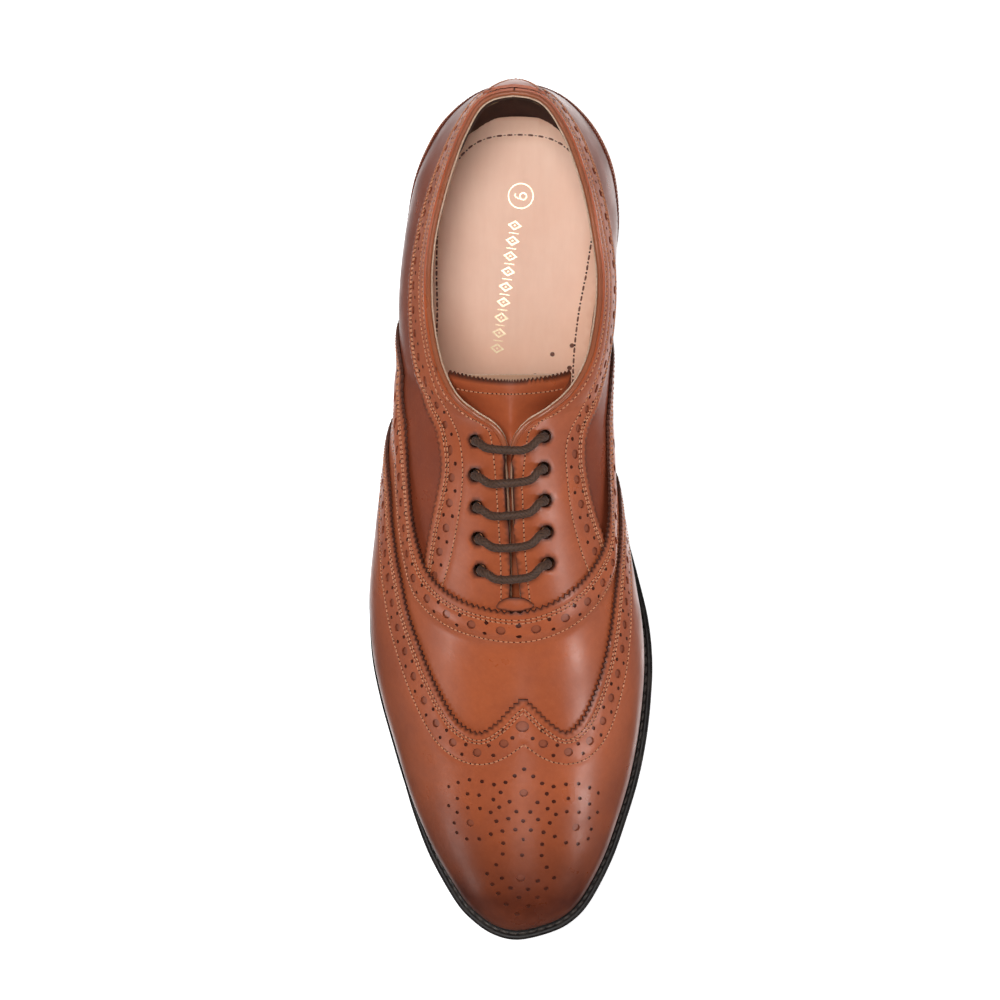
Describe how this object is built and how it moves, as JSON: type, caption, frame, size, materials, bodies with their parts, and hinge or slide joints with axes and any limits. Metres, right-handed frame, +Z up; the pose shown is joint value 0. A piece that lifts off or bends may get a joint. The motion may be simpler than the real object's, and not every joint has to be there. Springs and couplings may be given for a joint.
{
  "type": "leather oxford shoe",
  "caption": "Man's closed-laced leather shoe with a winged toe cap, punched and pinked seams, welted sole and stacked heel; right foot.",
  "frame": {"origin": "centre of the bounding box at the ground plane, on which the tread and the heel stand", "axes": "+Z up, +Y from toe to heel, +X to the inner (medial) side of this right shoe"},
  "size_m": [0.1001, 0.2979, 0.1033],
  "materials": {
    "tan_leather": "burnished calf, semi-gloss",
    "lining_leather": "matt, natural",
    "dark_lining": "matt suede",
    "stiffener_board": "matt",
    "cork": "granular, matt",
    "welt_leather": "waxed, satin",
    "sole_rubber": "matt",
    "shank_steel": "brushed",
    "nail_brass": "satin",
    "eyelet_metal": "dark lacquer",
    "lace_cotton": "waxed cotton braid",
    "aglet_plastic": "gloss"
  },
  "bodies": {
    "shoe": {"wing_cap": "tan_leather", "vamp": "tan_leather", "quarter_lateral": "tan_leather", "quarter_medial": "tan_leather", "facing_lateral": "tan_leather", "facing_medial": "tan_leather", "heel_counter_cover": "tan_leather", "back_strip": "tan_leather", "throat_tab": "tan_leather", "topline_binding": "tan_leather", "vamp_lining": "lining_leather", "quarter_lining_lateral": "lining_leather", "quarter_lining_medial": "lining_leather", "sock_lining": "lining_leather", "heel_grip": "dark_lining", "toe_puff": "stiffener_board", "heel_stiffener": "stiffener_board", "insole_board": "stiffener_board", "bottom_filler": "cork", "welt": "welt_leather", "heel_lift_1": "welt_leather", "heel_lift_2": "welt_leather", "heel_lift_3": "welt_leather", "outsole": "sole_rubber", "top_piece": "sole_rubber", "shank": "shank_steel", "heel_nail_1": "nail_brass", "heel_nail_2": "nail_brass", "heel_nail_3": "nail_brass", "heel_nail_4": "nail_brass", "heel_nail_5": "nail_brass", "eyelet_lateral_1": "eyelet_metal", "eyelet_lateral_2": "eyelet_metal", "eyelet_lateral_3": "eyelet_metal", "eyelet_lateral_4": "eyelet_metal", "eyelet_lateral_5": "eyelet_metal", "eyelet_medial_1": "eyelet_metal", "eyelet_medial_2": "eyelet_metal", "eyelet_medial_3": "eyelet_metal", "eyelet_medial_4": "eyelet_metal", "eyelet_medial_5": "eyelet_metal", "lace": "lace_cotton", "aglet_lateral": "aglet_plastic", "aglet_medial": "aglet_plastic"},
    "tongue": {"tongue": "tan_leather", "tongue_lining": "lining_leather"}
  },
  "joints": [
    {"name": "tongue_hinge", "type": "hinge", "parent": "shoe", "child": "tongue", "pos_m": [0.0045, -0.035, 0.061], "axis": [1, 0, 0], "range_deg": [-12, 0]}
  ]
}
